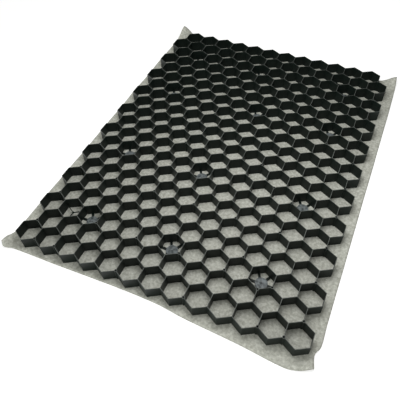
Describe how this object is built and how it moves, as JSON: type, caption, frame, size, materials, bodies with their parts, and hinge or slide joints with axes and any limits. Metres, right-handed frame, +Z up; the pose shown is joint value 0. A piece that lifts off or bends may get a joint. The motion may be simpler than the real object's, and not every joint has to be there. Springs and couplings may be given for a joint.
{
  "type": "gravel grid",
  "caption": "Flat honeycomb gravel grid panel of black moulded plastic on a larger sheet of pale fleece; its open cells hold gravel in place on paths and drives.",
  "frame": {"origin": "on the ground under the middle of the panel, at the fleece's underside", "axes": "+Z up out of the cells, +Y along the panel's long side, +X along its rows of cells"},
  "size_m": [0.695, 0.9256, 0.031],
  "materials": {
    "grid_plastic": "black recycled polypropylene, injection moulded, satin",
    "fleece": "pale grey needle-punched non-woven fleece, matt"
  },
  "bodies": {
    "root": {"grid_panel": "grid_plastic", "fleece_sheet": "fleece"}
  },
  "joints": []
}
